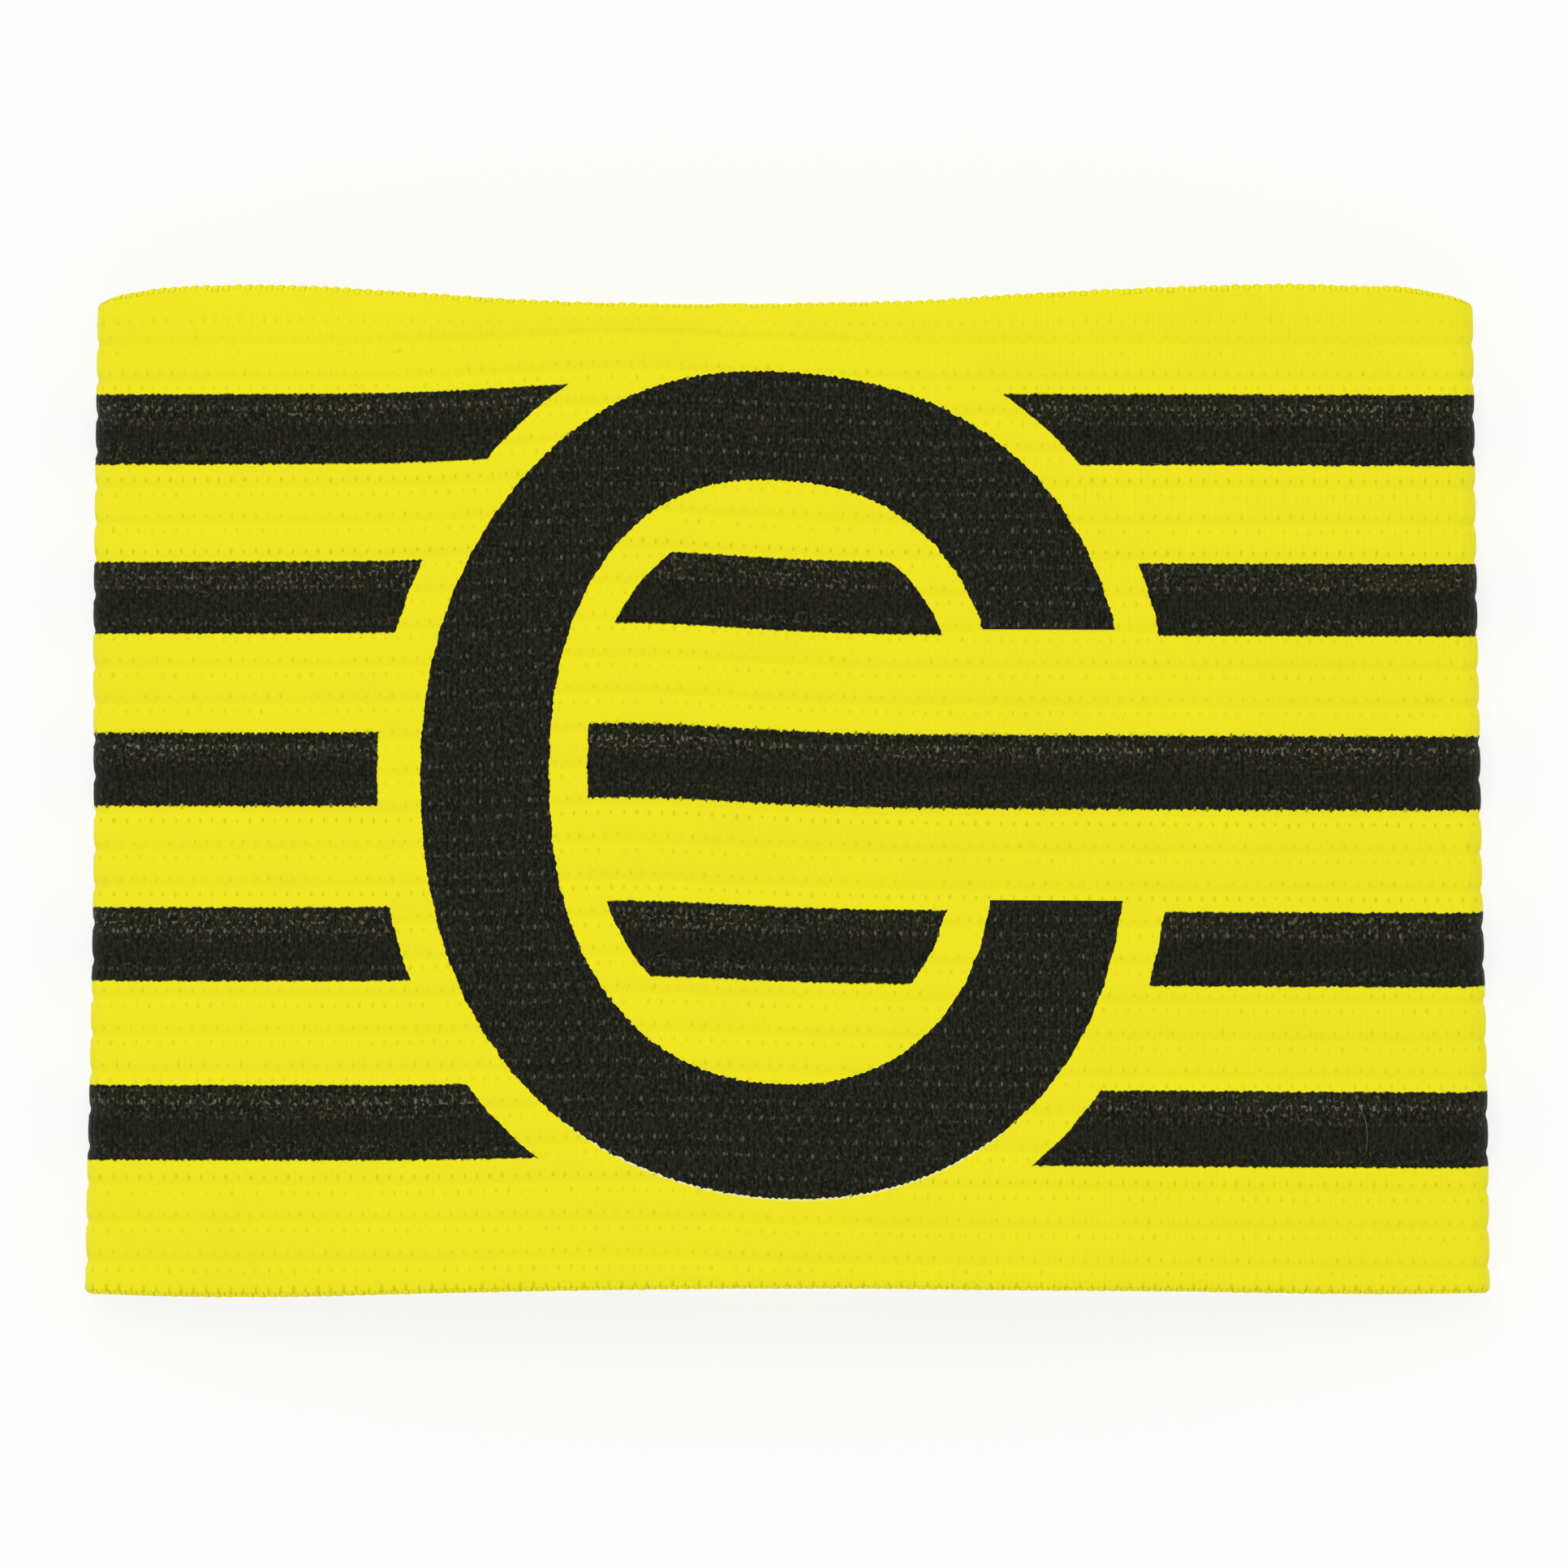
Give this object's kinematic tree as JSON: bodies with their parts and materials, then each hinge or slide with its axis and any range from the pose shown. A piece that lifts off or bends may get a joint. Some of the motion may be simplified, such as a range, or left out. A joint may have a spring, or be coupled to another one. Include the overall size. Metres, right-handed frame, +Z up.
{
  "type": "captain armband",
  "caption": "Wide elastic armband laid flat as a low loop, with a bold letter C over cross stripes; it stretches over a sleeve to mark a team's captain.",
  "frame": {"origin": "middle of the footprint, on the surface that the back layer lies on", "axes": "+X across the front from fold to fold, to the right as the letter C is read; +Y across the band towards the top of the letter; +Z up, out of the printed front"},
  "size_m": [0.1266, 0.0914, 0.0115],
  "materials": {
    "elastic_webbing": "dull ribbed woven elastic, bright yellow, printed in black",
    "sewing_thread": "matt yellow polyester thread"
  },
  "bodies": {
    "root": {"elastic_band": "elastic_webbing"}
  },
  "joints": []
}
